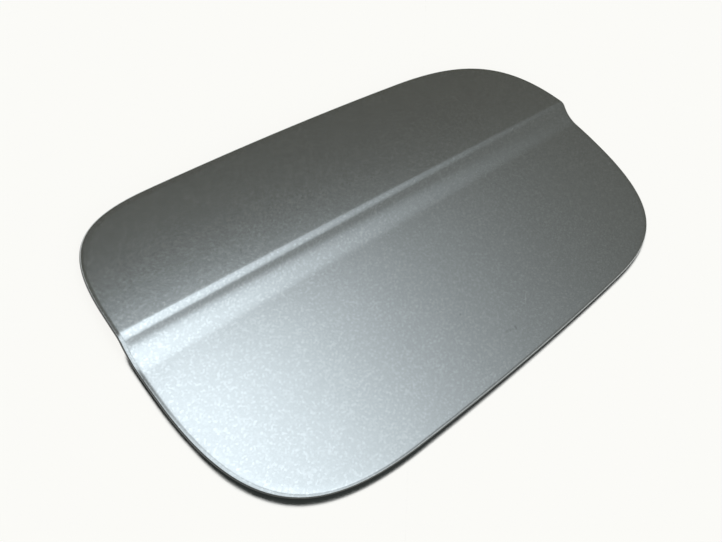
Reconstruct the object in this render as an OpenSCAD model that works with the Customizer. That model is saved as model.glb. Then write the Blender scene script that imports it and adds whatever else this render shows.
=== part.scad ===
// Fuel filler flap: the hemmed, painted steel panel that closes the filler recess in a car's side,
// with its hinge arm and latch hook unscrewed. It lies face up, as in the photograph.
// +X runs along the feature line from the hinge end to the latch end, +Y from the lower to the
// upper edge, +Z out of the painted face. The lowest points of the hem rest on Z = 0.

/* [Outline] */
// Overall length, along the feature line
flap_length = 200; // [185:1:220]
// Overall width, across the feature line
flap_width = 109.5; // [104:0.5:118]
// Bow radius of the upper long edge
upper_edge_bow = 1740; // [1200:20:3000]
// Bow radius of the lower long edge
lower_edge_bow = 1300; // [900:20:2500]
// Bow radius of the hinge end
hinge_end_bow = 427; // [300:1:800]
// Bow radius of the latch end
latch_end_bow = 303; // [243:1:600]
// How far above mid-width the two ends stand out most
end_apex = 4.3; // [0:0.1:8]
// Run of the upper corner at the hinge end, from the sharp corner
upper_hinge_corner = 28.7; // [27.2:0.1:40]
// Run of the lower corner at the hinge end
lower_hinge_corner = 46.3; // [34:0.1:50]
// Run of the lower corner at the latch end
lower_latch_corner = 41.2; // [34:0.1:50]
// Run of the upper corner at the latch end
upper_latch_corner = 58.5; // [40:0.5:60]
// Fullness of the corners: 0.55 is near a plain arc, more is tighter in the middle
corner_fullness = 0.77; // [0.66:0.01:0.78]

/* [Pressed face] */
// Height of the ridge line above mid-width
crease_offset = 15.2; // [9:0.1:19]
// Radius of the ridge, on the painted side
ridge_radius = 4.2; // [2.6:0.1:5]
// Steepest slope of the step below the ridge, degrees
step_angle = 35; // [25:0.5:42]
// Length of the straight face between ridge and valley
step_face = 0.7; // [0.3:0.1:1.5]
// Radius of the valley below the step
valley_radius = 13.6; // [9:0.1:15]
// Fall of the upper band away from the ridge, degrees
upper_lean = 3.5; // [2:0.1:4]
// Crown radius of the upper band
upper_crown = 830; // [700:10:2000]
// Rise of the lower band out of the valley, degrees
lower_lean = 2; // [1.5:0.1:3]
// Crown radius of the lower band
lower_crown = 940; // [700:10:1500]
// Crown radius along the length
length_crown = 6000; // [4500:250:8000]

/* [Sheet and hem] */
// Thickness of the outer skin
skin_gauge = 0.75; // [0.6:0.05:0.8]
// Thickness of the inner panel
panel_gauge = 0.7; // [0.5:0.05:0.7]
// Adhesive film on each face of the trapped edge
hem_film = 0.1; // [0.08:0.01:0.12]
// Width of the return flange, from the start of the hem roll
hem_return = 7; // [5:0.5:7.5]
// Clearance from the bottom of the hem roll to the trapped edge
edge_clearance = 0.4; // [0.3:0.1:1]

/* [Inner panel] */
// Height of the flat floor's underside above the resting plane
floor_height = 0.6; // [0.45:0.05:0.7]
// Clearance from the end of the return flange to the joggle
joggle_clearance = 0.9; // [0.6:0.1:1]
// Run of the joggle, from the trapped edge down to the floor
joggle_run = 1.8; // [1.6:0.1:2]
// Height of the stiffening beads above the floor
bead_height = 1.1; // [0.6:0.1:1.2]
// Width of a bead at its top
bead_top = 5; // [3:0.5:8]
// Run of a bead's sloping side
bead_side = 2; // [1.5:0.1:3]
// Length of the two lower beads, between their end centres
lower_bead_length = 104; // [80:2:120]
// Distance of the outermost lower bead below mid-width
lower_bead_offset = 33; // [31:0.5:34]
// Spacing of the two lower beads
bead_pitch = 23; // [21:0.5:24]
// Length of the upper bead, between its end centres
upper_bead_length = 44; // [30:2:56]
// Diameter of the drain holes
drain_diameter = 7; // [4:0.5:8]
// Distance of each drain hole from the flap's end
drain_setback = 28; // [24:1:32]

/* [Screwed mounts] */
// Depth of the mounting pads, pressed down from the floor
pad_depth = 0.4; // [0.2:0.05:0.4]
// Thickness of the hinge and latch plates
plate_gauge = 1.2; // [1:0.1:1.4]
// Height of the plunged collars above a plate
collar_height = 1.4; // [1:0.1:1.6]
// Wall of a plunged collar
collar_wall = 1.2; // [0.8:0.1:1.4]
// Radius of the tapped bores, for M5 screws
tap_radius = 2.1; // [2.05:0.05:2.2]
// Clearance of the floor's holes round a screw's tapped bore
screw_clearance = 0.9; // [0.7:0.1:1.2]
// Clearance from a plate's edge to the wall of its pad
plate_clearance = 0.6; // [0.4:0.1:1]
// Distance of both plates' centres above the ridge line
mount_rise = 10.8; // [10.4:0.1:12]
// Corner radius of both plates
plate_corner = 4; // [2:0.5:5]
// Length of the hinge plate
hinge_plate_length = 42; // [38:1:44]
// Width of the hinge plate
hinge_plate_width = 20; // [18:1:20]
// Distance of the hinge plate's centre from the hinge end
hinge_setback = 40; // [38:1:44]
// Spacing of the hinge screws
hinge_screw_pitch = 26; // [22:1:28]
// Length of the latch plate
latch_plate_length = 26; // [24:1:28]
// Width of the latch plate
latch_plate_width = 14; // [12:1:15]
// Distance of the latch plate's centre from the latch end
latch_setback = 42; // [41:1:46]
// Spacing of the latch screws
latch_screw_pitch = 14; // [12:1:15]

/* [Mastic pads] */
// Clearance from a mastic pad to the feet of the beads beside it
mastic_margin = 1; // [0.4:0.1:1.5]
// Clearance above and below a mastic pad
mastic_clearance = 0.06; // [0.04:0.01:0.1]
// Spacing of the mastic pads along the length
mastic_pitch = 44; // [30:1:50]

/* [Hidden] */
$fn = 48;
columns = 32;            // grid columns along the length
lower_rows = 8;          // grid rows below the step
upper_rows = 6;          // grid rows above the step
hem_radius = skin_gauge + panel_gauge / 2 + hem_film;
hem_inside = hem_radius - skin_gauge;
hem_height = 2 * hem_radius;
half_length = flap_length / 2;
half_width = flap_width / 2;
flange_inset = hem_radius + hem_return;
joggle_inset = flange_inset + joggle_clearance;
floor_inset = joggle_inset + joggle_run;
mid_inset = (hem_radius + joggle_inset) / 2;
seam = 0.02;             // the joggle ends this far inside the floor's two faces
pad_top = floor_height + panel_gauge - pad_depth;
mount_y = crease_offset + mount_rise;
hinge_reach = half_length - hinge_setback;
latch_reach = half_length - latch_setback;
drain_reach = half_length - drain_setback;
hole_low = floor_height - pad_depth - panel_gauge;   // holes are cut from here, through pad and floor
hole_depth = pad_depth + 3 * panel_gauge;
row_margin = 4;          // the finest grid rows reach this far below the valley
foot_lap = 0.3;          // the joggle's foot laps this far over the floor's edge
tongue_lap = 1;          // and its tongue this far
mastic_radius = (bead_pitch - bead_top) / 2 - bead_side - mastic_margin;

// Section of the pressed face, with r measured upwards from the start of the ridge

// Slopes, positive where the face climbs with Y
lean_u = -upper_lean;
lean_l = -lower_lean;
ridge_end = -ridge_radius * (sin(step_angle) - sin(lean_u));
face_end = ridge_end - step_face * cos(step_angle);
valley_end = face_end - valley_radius * (sin(step_angle) - sin(lean_l));
ridge_drop = ridge_radius * (cos(step_angle) - cos(lean_u));
face_drop = ridge_drop - step_face * sin(step_angle);
valley_drop = face_drop - valley_radius * (cos(lean_l) - cos(step_angle));

function slope_at(r) =
    r > 0 ? asin(sin(lean_u) - r / upper_crown) :
    r > ridge_end ? asin(sin(lean_u) - r / ridge_radius) :
    r > face_end ? step_angle :
    r > valley_end ? asin(sin(step_angle) + (r - face_end) / valley_radius) :
    asin(sin(lean_l) - (r - valley_end) / lower_crown);

function rise_at(r) =
    let (a = slope_at(r))
    r > 0 ? upper_crown * (cos(a) - cos(lean_u)) :
    r > ridge_end ? ridge_radius * (cos(a) - cos(lean_u)) :
    r > face_end ? ridge_drop + (r - ridge_end) * tan(step_angle) :
    r > valley_end ? face_drop - valley_radius * (cos(a) - cos(step_angle)) :
    valley_drop + lower_crown * (cos(a) - cos(lean_l));

// Painted face over a plan point, before it is lifted onto the resting plane
function face_z(p) = rise_at(p.y - crease_offset) - length_crown
    + sqrt(length_crown * length_crown - p.x * p.x);
function face_normal(p) =
    let (n = [p.x / sqrt(length_crown * length_crown - p.x * p.x),
              -tan(slope_at(p.y - crease_offset)), 1])
    n / norm(n);

// Outline: four bowed sides, joined by full corners

// Each side: centre, radius and the direction it faces, counter-clockwise from the latch end
sides = [
    [[half_length - latch_end_bow, end_apex], latch_end_bow, 0],
    [[0, half_width - upper_edge_bow], upper_edge_bow, 90],
    [[hinge_end_bow - half_length, end_apex], hinge_end_bow, 180],
    [[0, lower_edge_bow - half_width], lower_edge_bow, 270]];
corner_runs = [upper_latch_corner, upper_hinge_corner, lower_hinge_corner, lower_latch_corner];
sharp_corners = [[half_length, half_width], [-half_length, half_width],
                 [-half_length, -half_width], [half_length, -half_width]];

// Crossing of two circles that lies nearest to a point
function crossing(a, b, near) =
    let (d = norm(b[0] - a[0]), e = (b[0] - a[0]) / d,
         m = (a[1] * a[1] - b[1] * b[1] + d * d) / (2 * d),
         h = sqrt(a[1] * a[1] - m * m),
         p = a[0] + m * e + h * [-e.y, e.x], q = a[0] + m * e - h * [-e.y, e.x])
    norm(p - near) < norm(q - near) ? p : q;
corners = [for (i = [0:3]) crossing(sides[i], sides[(i + 1) % 4], sharp_corners[i])];

function on_side(s, a) = s[0] + s[1] * [cos(a), sin(a)];
function heading(a) = [-sin(a), cos(a)];
// Angle of a point on a side's circle, near the direction that the side faces
function side_angle(s, p) =
    let (v = p - s[0], f = [cos(s[2]), sin(s[2])])
    s[2] + atan2(f.x * v.y - f.y * v.x, f.x * v.x + f.y * v.y);
function turn(run, s) = run / s[1] * 180 / PI;
function start_angle(i) = side_angle(sides[i], corners[(i + 3) % 4])
    + turn(corner_runs[(i + 3) % 4], sides[i]);
function end_angle(i) = side_angle(sides[i], corners[i]) - turn(corner_runs[i], sides[i]);

// The four control points of corner i
function corner_frame(i) =
    let (j = (i + 1) % 4, a = end_angle(i), b = start_angle(j), reach = corner_fullness * corner_runs[i],
         p = on_side(sides[i], a), q = on_side(sides[j], b))
    [p, p + reach * heading(a), q - reach * heading(b), q];
corner_frames = [for (i = [0:3]) corner_frame(i)];
function corner_point(i, t) =
    let (c = corner_frames[i], s = 1 - t)
    s * s * s * c[0] + 3 * s * s * t * c[1] + 3 * s * t * t * c[2] + t * t * t * c[3];
function corner_normal(i, t) =
    let (c = corner_frames[i], s = 1 - t,
         d = s * s * (c[1] - c[0]) + 2 * s * t * (c[2] - c[1]) + t * t * (c[3] - c[2]))
    [d.y, -d.x] / norm(d);

// Each side from mid-corner to mid-corner, as [point, outward normal]
side_paths = [for (i = [0:3])
    let (h = (i + 3) % 4, a = start_angle(i), b = end_angle(i)) concat(
        [for (k = [0:19]) let (t = 0.5 + k / 40) [corner_point(h, t), corner_normal(h, t)]],
        [for (k = [0:15]) let (c = a + (b - a) * k / 16) [on_side(sides[i], c), [cos(c), sin(c)]]],
        [for (k = [0:20]) let (t = k / 40) [corner_point(i, t), corner_normal(i, t)]])];

// The same side moved inwards by d, as tables over x or y
function inset_path(i, d) = [for (e = side_paths[i]) [e[0] - d * e[1], e[1]]];
function table(path, key, value) = [for (e = path) [e[0][key], concat(e[0], e[1])[value]]];
function edge_tables(d) = [for (i = [0:3])
    let (path = inset_path(i, d), key = i % 2 == 0 ? 1 : 0)
    [path[0][0], path[len(path) - 1][0], [for (v = [0:3]) table(path, key, v)]]];
function edge_point(tables, i, key) = [for (v = [0:3]) lookup(key, tables[i][2][v])];

// Stations round the edge, shared by both sheets, so that the trapped edge lies true in the hem

function ease(u) = u - 0.085 * sin(360 * u);
row_run = [valley_end - row_margin, valley_end,
    for (k = [1:5]) face_end - valley_radius * (sin(step_angle)
        - sin(lean_l + (step_angle - lean_l) * k / 6)),
    face_end, ridge_end,
    for (k = [1:3]) -ridge_radius * (sin(step_angle + (lean_u - step_angle) * k / 4) - sin(lean_u)),
    0, 3.5];
step_rows = [for (r = row_run) r + crease_offset];
band_low = step_rows[0];
band_high = step_rows[len(step_rows) - 1];
rows = lower_rows + len(step_rows) - 1 + upper_rows;
stations = 2 * (columns + rows);

// Height in plan of row j on one end, between that end's two mid-corner points
function row_y(j, low, high) =
    j < lower_rows ? low + (band_low - low) * pow(j / lower_rows, 1.3) :
    j < rows - upper_rows ? step_rows[j - lower_rows] :
    high - (high - band_high) * pow((rows - j) / upper_rows, 1.3);

// Closed loop of [x, y, nx, ny] at inset d, counter-clockwise from the lower hinge corner
function edge_loop(d) =
    let (t = edge_tables(d))
    concat(
        [for (i = [0:columns - 1]) edge_point(t, 3, t[3][0].x + (t[3][1].x - t[3][0].x) * ease(i / columns))],
        [for (j = [0:rows - 1]) edge_point(t, 0, row_y(j, t[0][0].y, t[0][1].y))],
        [for (i = [columns:-1:1]) edge_point(t, 1, t[1][1].x + (t[1][0].x - t[1][1].x) * ease(i / columns))],
        [for (j = [rows:-1:1]) edge_point(t, 2, row_y(j, t[2][1].y, t[2][0].y))]);

roll_loop = edge_loop(hem_radius);
mid_loop = edge_loop(mid_inset);
flange_loop = edge_loop(flange_inset);
joggle_loop = edge_loop(joggle_inset);

// A loop laid at a depth under the painted face
function under(loop, depth) = [for (p = loop) [p[0], p[1], face_z(p)] - depth * face_normal(p)];
// A loop of the hem roll, turned by an angle round the roll's centre, at radius r
function roll(r, angle) = [for (p = roll_loop)
    let (n = face_normal(p), b = [p[2], p[3], -(p[2] * n.x + p[3] * n.y) / n.z])
    [p[0], p[1], face_z(p)] - hem_radius * n + r * (cos(angle) * n + sin(angle) * b / norm(b))];

lift = -min([for (p = concat(under(flange_loop, hem_height), roll(hem_radius, 180),
    roll(hem_radius, 150))) p.z]);
function lifted(points) = [for (p = points) p + [0, 0, lift]];

// Grid inside the joggle loop: straight rows across the step, blended above and below it

function bottom_at(i) = joggle_loop[i];
function right_at(j) = joggle_loop[columns + j];
function top_at(i) = joggle_loop[2 * columns + rows - i];
function left_at(j) = joggle_loop[(stations - j) % stations];
function flat2(p) = [p[0], p[1]];
// A loop's outline through the middles of its stations
function between(loop) = [for (k = [0:len(loop) - 1]) (flat2(loop[k]) + flat2(loop[(k + 1) % len(loop)])) / 2];
function blend(i, j, ja, jb, low, high) =
    let (u = ease(i / columns), v = (left_at(j)[1] - left_at(ja)[1]) / (left_at(jb)[1] - left_at(ja)[1]),
         l = flat2(left_at(j)), r = flat2(right_at(j)), b = flat2(low), t = flat2(high))
    (1 - v) * b + v * t + (1 - u) * l + u * r
    - (1 - u) * (1 - v) * flat2(left_at(ja)) - u * (1 - v) * flat2(right_at(ja))
    - (1 - u) * v * flat2(left_at(jb)) - u * v * flat2(right_at(jb));
function across(i, j) = let (u = ease(i / columns)) (1 - u) * flat2(left_at(j)) + u * flat2(right_at(j));
function grid_point(i, j) =
    j < lower_rows ? blend(i, j, 0, lower_rows, bottom_at(i), across(i, lower_rows)) :
    j > rows - upper_rows ? blend(i, j, rows - upper_rows, rows, across(i, rows - upper_rows), top_at(i)) :
    across(i, j);
grid = [for (j = [0:rows]) for (i = [0:columns]) grid_point(i, j)];
function grid_index(i, j) = j * (columns + 1) + i;
grid_size = (rows + 1) * (columns + 1);
// The grid's own rim, in station order
grid_rim = concat([for (i = [0:columns - 1]) grid_index(i, 0)], [for (j = [0:rows - 1]) grid_index(columns, j)],
    [for (i = [columns:-1:1]) grid_index(i, rows)], [for (j = [rows:-1:1]) grid_index(0, j)]);

// Faces, clockwise from outside

// Triangles between two rings of vertex indices
function band(a, b) = let (n = len(a)) [for (k = [0:n - 1]) let (m = (k + 1) % n)
    each [[a[k], b[m], b[k]], [a[k], a[m], b[m]]]];
function ring(first, n = stations) = [for (k = [0:n - 1]) first + k];
// Triangles of the grid, with the diagonal towards the nearer corner
function sheet(first, up) = [for (j = [0:rows - 1]) for (i = [0:columns - 1])
    let (a = first + grid_index(i, j), b = a + 1, d = a + columns + 1, c = d + 1,
         t = (i < columns / 2) == (j < rows / 2) ? [[a, b, c], [a, c, d]] : [[a, b, d], [b, c, d]])
    each (up ? [for (f = t) [f[2], f[1], f[0]]] : t)];

module outer_skin() {
    color([0.42, 0.47, 0.49]) {
        rings = [under(mid_loop, 0), roll(hem_radius, 0), roll(hem_radius, 40), roll(hem_radius, 80),
            roll(hem_radius, 125), roll(hem_radius, 180), under(flange_loop, hem_height),
            under(flange_loop, hem_height - skin_gauge), roll(hem_inside, 180), roll(hem_inside, 120),
            roll(hem_inside, 60), roll(hem_inside, 0), under(mid_loop, skin_gauge)];
        count = len(rings);
        points = lifted(concat(under(grid, 0), under(grid, skin_gauge), [for (r = rings) each r]));
        first = 2 * grid_size;
        faces = concat(sheet(0, true), sheet(grid_size, false), band(grid_rim, ring(first)),
            [for (k = [0:count - 2]) each band(ring(first + k * stations), ring(first + (k + 1) * stations))],
            band(ring(first + (count - 1) * stations), [for (g = grid_rim) g + grid_size]));
        polyhedron(points, faces, convexity = 6);
    }
}

// Edge of the inner panel: trapped in the hem, then joggled down into the floor
module trapped_edge() {
    top = skin_gauge + hem_film;
    low = top + panel_gauge;
    trap = edge_loop(hem_radius + edge_clearance - hem_inside * 0.5);
    floor_in = edge_loop(floor_inset + foot_lap);
    tongue = edge_loop(floor_inset + tongue_lap);
    foot = edge_loop(floor_inset - foot_lap / 3);
    fold = edge_loop(joggle_inset - panel_gauge / 2);
    function level(loop, z) = [for (p = loop) [p[0], p[1], z]];
    rings = [lifted(under(trap, top)), lifted(under(mid_loop, top)), lifted(under(joggle_loop, top)),
        level(floor_in, floor_height + panel_gauge - seam), level(tongue, floor_height + panel_gauge - seam),
        level(tongue, floor_height + seam), level(foot, floor_height + seam), lifted(under(fold, low)),
        lifted(under(trap, low))];
    count = len(rings);
    polyhedron([for (r = rings) each r],
        [for (k = [0:count - 1]) each band(ring(((k + 1) % count) * stations), ring(k * stations))],
        convexity = 6);
}

// Stiffening bead: a flat-topped ridge with sloping sides and coned ends, shifted by z
module bead(length, z, extra) {
    foot = bead_top / 2 + bead_side;
    grow = bead_side / bead_height;
    translate([-length / 2, 0, z]) rotate([90, 0, 90]) linear_extrude(length) polygon([
        [-foot - extra * grow, -extra], [foot + extra * grow, -extra],
        [bead_top / 2, bead_height], [-bead_top / 2, bead_height]]);
    for (s = [-1, 1]) translate([s * length / 2, 0, z - extra])
        cylinder(h = bead_height + extra, r1 = foot + extra * grow, r2 = bead_top / 2);
}

// Rounded rectangle, centred, of true arcs
module rounded(length, width, radius, height) {
    linear_extrude(height) {
        square([length - 2 * radius, width], center = true);
        square([length, width - 2 * radius], center = true);
        for (x = [-1, 1], y = [-1, 1])
            translate([x * (length / 2 - radius), y * (width / 2 - radius)]) circle(radius);
    }
}

bead_places = [
    [0, -lower_bead_offset, lower_bead_length],
    [0, bead_pitch - lower_bead_offset, lower_bead_length],
    [(latch_reach - latch_plate_length / 2 - hinge_reach + hinge_plate_length / 2) / 2, mount_y,
        upper_bead_length]];

module pad_block(reach, length, width, shrink, z, height) {
    translate([reach, mount_y, z]) rounded(length + 2 * (plate_clearance + panel_gauge - shrink),
        width + 2 * (plate_clearance + panel_gauge - shrink), plate_corner + plate_clearance + panel_gauge - shrink,
        height);
}

// Screw positions, for both plates
hinge_screws = [for (s = [-1, 1]) [-hinge_reach + s * hinge_screw_pitch / 2, mount_y]];
latch_screws = [for (s = [-1, 1]) [latch_reach + s * latch_screw_pitch / 2, mount_y]];

module inner_panel() {
    color([0.55, 0.57, 0.55]) difference() {
        union() {
            trapped_edge();
            translate([0, 0, floor_height]) linear_extrude(panel_gauge)
                polygon(between(edge_loop(floor_inset)));
            for (b = bead_places) translate([b[0], b[1], 0])
                bead(b[2], floor_height + panel_gauge, panel_gauge / 2);
            pad_block(-hinge_reach, hinge_plate_length, hinge_plate_width, 0,
                floor_height - pad_depth, panel_gauge);
            pad_block(latch_reach, latch_plate_length, latch_plate_width, 0,
                floor_height - pad_depth, panel_gauge);
        }
        for (b = bead_places) translate([b[0], b[1], 0]) bead(b[2], floor_height, panel_gauge / 2);
        pad_block(-hinge_reach, hinge_plate_length, hinge_plate_width, panel_gauge, pad_top, panel_gauge);
        pad_block(latch_reach, latch_plate_length, latch_plate_width, panel_gauge, pad_top, panel_gauge);
        for (p = concat(hinge_screws, latch_screws)) translate([p.x, p.y, hole_low])
            cylinder(h = hole_depth, r = tap_radius + screw_clearance);
        for (s = [-1, 1]) translate([s * drain_reach, -lower_bead_offset + bead_pitch, hole_low])
            cylinder(h = hole_depth, r = drain_diameter / 2);
    }
}

// Mounting plate with plunged and tapped screw collars, welded in its pad
module mount_plate(reach, length, width, screws) {
    difference() {
        union() {
            translate([reach, mount_y, pad_top]) rounded(length, width, plate_corner, plate_gauge);
            for (p = screws) translate([p.x, p.y, pad_top + plate_gauge / 2])
                cylinder(h = plate_gauge / 2 + collar_height, r = tap_radius + collar_wall);
        }
        for (p = screws) translate([p.x, p.y, pad_top - plate_gauge])
            cylinder(h = 3 * plate_gauge + collar_height, r = tap_radius);
    }
}

module hinge_plate() {
    color([0.72, 0.70, 0.58])
        mount_plate(-hinge_reach, hinge_plate_length, hinge_plate_width, hinge_screws);
}

module latch_plate() {
    color([0.72, 0.70, 0.58])
        mount_plate(latch_reach, latch_plate_length, latch_plate_width, latch_screws);
}

// Mastic pads between the beads and the skin, shaped to the skin's underside
module mastic_pad(x, y, z) {
    sides = 16;
    r = mastic_radius;
    plan = concat([[x, y]], [for (k = [0:sides - 1]) [x + r * cos(360 * k / sides), y + r * sin(360 * k / sides)]]);
    roof = [for (p = plan) let (n = face_normal(p)) [p.x, p.y,
        face_z(p) + lift - skin_gauge / n.z - mastic_clearance]];
    points = concat(roof, [for (p = plan) [p.x, p.y, z]]);
    faces = [for (k = [1:sides]) let (m = k % sides + 1) each [
        [0, m, k], [sides + 1, sides + 1 + k, sides + 1 + m],
        [k, m, sides + 1 + m], [k, sides + 1 + m, sides + 1 + k]]];
    polyhedron(points, faces);
}

module mastic_pads() {
    color([0.16, 0.16, 0.17])
        for (s = [-1, 0, 1]) mastic_pad(s * mastic_pitch, bead_pitch / 2 - lower_bead_offset,
            floor_height + panel_gauge + mastic_clearance);
}

outer_skin();
inner_panel();
hinge_plate();
latch_plate();
mastic_pads();
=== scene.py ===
# %% [markdown]
# # A fuel filler flap: pressed, hemmed and painted
# The real flap is two steel sheets. The outer one is pressed to the car's skin, with a ridge and a
# valley along it, and its edge is folded back over the edge of the inner one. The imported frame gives
# every piece its size and place; this script gives the same pieces finer surfaces and real finishes.

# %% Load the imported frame
import math
import bpy
import numpy as np
from mathutils import Matrix, Vector


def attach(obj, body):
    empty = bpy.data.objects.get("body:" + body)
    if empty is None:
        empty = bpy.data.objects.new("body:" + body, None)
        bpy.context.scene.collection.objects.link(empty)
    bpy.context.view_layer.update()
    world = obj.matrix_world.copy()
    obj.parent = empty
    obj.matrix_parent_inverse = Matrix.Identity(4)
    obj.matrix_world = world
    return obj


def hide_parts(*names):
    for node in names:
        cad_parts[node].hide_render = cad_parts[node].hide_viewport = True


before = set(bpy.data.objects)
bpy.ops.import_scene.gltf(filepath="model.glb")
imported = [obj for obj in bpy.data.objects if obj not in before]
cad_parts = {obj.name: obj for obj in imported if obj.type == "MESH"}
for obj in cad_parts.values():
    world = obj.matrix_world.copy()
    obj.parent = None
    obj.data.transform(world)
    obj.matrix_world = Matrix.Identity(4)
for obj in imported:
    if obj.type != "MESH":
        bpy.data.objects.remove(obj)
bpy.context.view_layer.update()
MM = 0.001
print("frame pieces:", sorted(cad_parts))

# %% [markdown]
# ## Sizes
# These are the same numbers as in the part's source, in millimetres and degrees. They are kept in
# one place, so that the outline, the press tree and the hem all speak of the same flap.

# %% Sizes of the flap
half_length, half_width = 100.0, 54.75
upper_edge_bow, lower_edge_bow, hinge_end_bow, latch_end_bow = 1740.0, 1300.0, 427.0, 303.0
end_apex, corner_fullness = 4.3, 0.77
corner_runs = [58.5, 28.7, 46.3, 41.2]
crease_offset, ridge_radius, step_angle, step_face = 15.2, 4.2, 35.0, 0.7
valley_radius, upper_lean, upper_crown = 13.6, 3.5, 830.0
lower_lean, lower_crown, length_crown = 2.0, 940.0, 6000.0
skin_gauge, panel_gauge, hem_film, hem_return = 0.75, 0.7, 0.1, 7.0
hem_radius = skin_gauge + panel_gauge / 2 + hem_film
hem_inside = hem_radius - skin_gauge
flange_inset = hem_radius + hem_return
edge_clearance, joggle_run, joggle_gap = 0.4, 1.8, 0.9
joggle_inset = flange_inset + joggle_gap
floor_inset = joggle_inset + joggle_run
floor_height, pad_depth = 0.6, 0.4
bead_height, bead_top, bead_side = 1.1, 5.0, 2.0
mount_offset, plate_room = 10.8, 0.6
mount_y = crease_offset + mount_offset
hinge_x, latch_x, drain_x = -60.0, 58.0, 72.0
hinge_plate, latch_plate, plate_corner = (42.0, 20.0), (26.0, 14.0), 4.0
hinge_pitch, latch_pitch, tap_radius, drain_radius = 26.0, 14.0, 2.1, 3.5
upper_bead_x = (latch_x - latch_plate[0] / 2 + hinge_x + hinge_plate[0] / 2) / 2
beads = [(0.0, -33.0, 104.0), (0.0, -10.0, 104.0), (upper_bead_x, mount_y, 44.0)]

# %% [markdown]
# ## Helpers
# A colour is written as it looks on a screen, and a shader needs it as light, so one function turns
# sRGB hex into linear values. One more adds a node to any tree, with its settings and its links. The
# others start a material or a Geometry Nodes tree, and place and join objects.

# %% Colour and node helpers
MATH, VECTOR_MATH = "ShaderNodeMath", "ShaderNodeVectorMath"


def linear(hex_code):
    parts = [int(hex_code[k:k + 2], 16) / 255 for k in (1, 3, 5)]
    return [c / 12.92 if c <= 0.04045 else ((c + 0.055) / 1.055) ** 2.4 for c in parts] + [1.0]


def add_node(tree, kind, inputs=None, **settings):
    """Adds one node. An input is a value, a socket, or a node whose first output in use is meant."""
    node = tree.nodes.new(kind)
    for name, value in settings.items():
        setattr(node, name, value)
    for key, value in (inputs or {}).items():
        if isinstance(value, bpy.types.Node):
            value = next(socket for socket in value.outputs if socket.enabled)
        if isinstance(value, bpy.types.NodeSocket):
            tree.links.new(value, node.inputs[key])
        else:
            node.inputs[key].default_value = value
    return node


def new_material(name):
    """A material, its tree, and a socket of the piece's own coordinates in it."""
    material = bpy.data.materials.new(name)
    material.use_nodes = True
    tree = material.node_tree
    tree.nodes.clear()
    return material, tree, add_node(tree, "ShaderNodeTexCoord").outputs["Object"]


def new_group(name, inputs, outputs):
    """A Geometry Nodes tree and its input sockets. Each label has a default value or a socket's kind."""
    group = bpy.data.node_groups.new(name, "GeometryNodeTree")
    for way, sockets in (("INPUT", inputs), ("OUTPUT", outputs)):
        for label, value in sockets.items():
            kind = value if isinstance(value, str) else "Float"
            socket = group.interface.new_socket(label, in_out=way, socket_type="NodeSocket" + kind)
            if kind == "Float":
                socket.default_value = value
    return group, group.nodes.new("NodeGroupInput").outputs


def other_leg(tree, long_side, leg):
    """The second leg of a right triangle, from its long side and its first leg."""
    squares = [add_node(tree, MATH, {0: side, 1: side}, operation="MULTIPLY") for side in (long_side, leg)]
    rest = add_node(tree, MATH, {0: squares[0], 1: squares[1]}, operation="SUBTRACT")
    return add_node(tree, MATH, {0: rest}, operation="SQRT")


# %% Object helpers
def placed(name, mesh):
    """A new object for the mesh, linked to the scene."""
    piece = bpy.data.objects.new(name, mesh)
    bpy.context.scene.collection.objects.link(piece)
    return piece


def joined(pieces):
    """The first of the pieces, with all the others joined to it."""
    with bpy.context.temp_override(active_object=pieces[0], selected_editable_objects=pieces,
                                   selected_objects=pieces):
        bpy.ops.object.join()
    return pieces[0]

# %% [markdown]
# ## The outline
# Seen from above, the flap is four shallow bows joined by four full corners, each corner a single
# smooth curve whose run is measured from the sharp corner. A loop of stations follows that outline
# at any distance inside it. Both sheets use the same stations, so the hem lies true on its neighbour.

# %% Four bowed sides and four corners
sides = [((half_length - latch_end_bow, end_apex), latch_end_bow, 0.0),
         ((0.0, half_width - upper_edge_bow), upper_edge_bow, 90.0),
         ((hinge_end_bow - half_length, end_apex), hinge_end_bow, 180.0),
         ((0.0, lower_edge_bow - half_width), lower_edge_bow, 270.0)]
sharp = [(half_length, half_width), (-half_length, half_width),
         (-half_length, -half_width), (half_length, -half_width)]


def crossing(a, b, near):
    ca, cb = np.array(a[0]), np.array(b[0])
    d = np.linalg.norm(cb - ca)
    e = (cb - ca) / d
    m = (a[1] ** 2 - b[1] ** 2 + d * d) / (2 * d)
    h = math.sqrt(a[1] ** 2 - m * m)
    found = [ca + m * e + s * h * np.array([-e[1], e[0]]) for s in (1, -1)]
    return min(found, key=lambda p: np.linalg.norm(p - near))


def side_angle(side, p):
    facing = math.radians(side[2])
    v, f = np.array(p) - side[0], np.array([math.cos(facing), math.sin(facing)])
    return facing + math.atan2(f[0] * v[1] - f[1] * v[0], f @ v)


corners = [crossing(sides[i], sides[(i + 1) % 4], np.array(sharp[i])) for i in range(4)]
start_angle = [side_angle(sides[i], corners[i - 1]) + corner_runs[i - 1] / sides[i][1] for i in range(4)]
end_angle = [side_angle(sides[i], corners[i]) - corner_runs[i] / sides[i][1] for i in range(4)]


def on_side(i, angle):
    angle = np.atleast_1d(angle)
    way = np.stack([np.cos(angle), np.sin(angle)], 1)
    return np.array(sides[i][0]) + sides[i][1] * way, way


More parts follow.
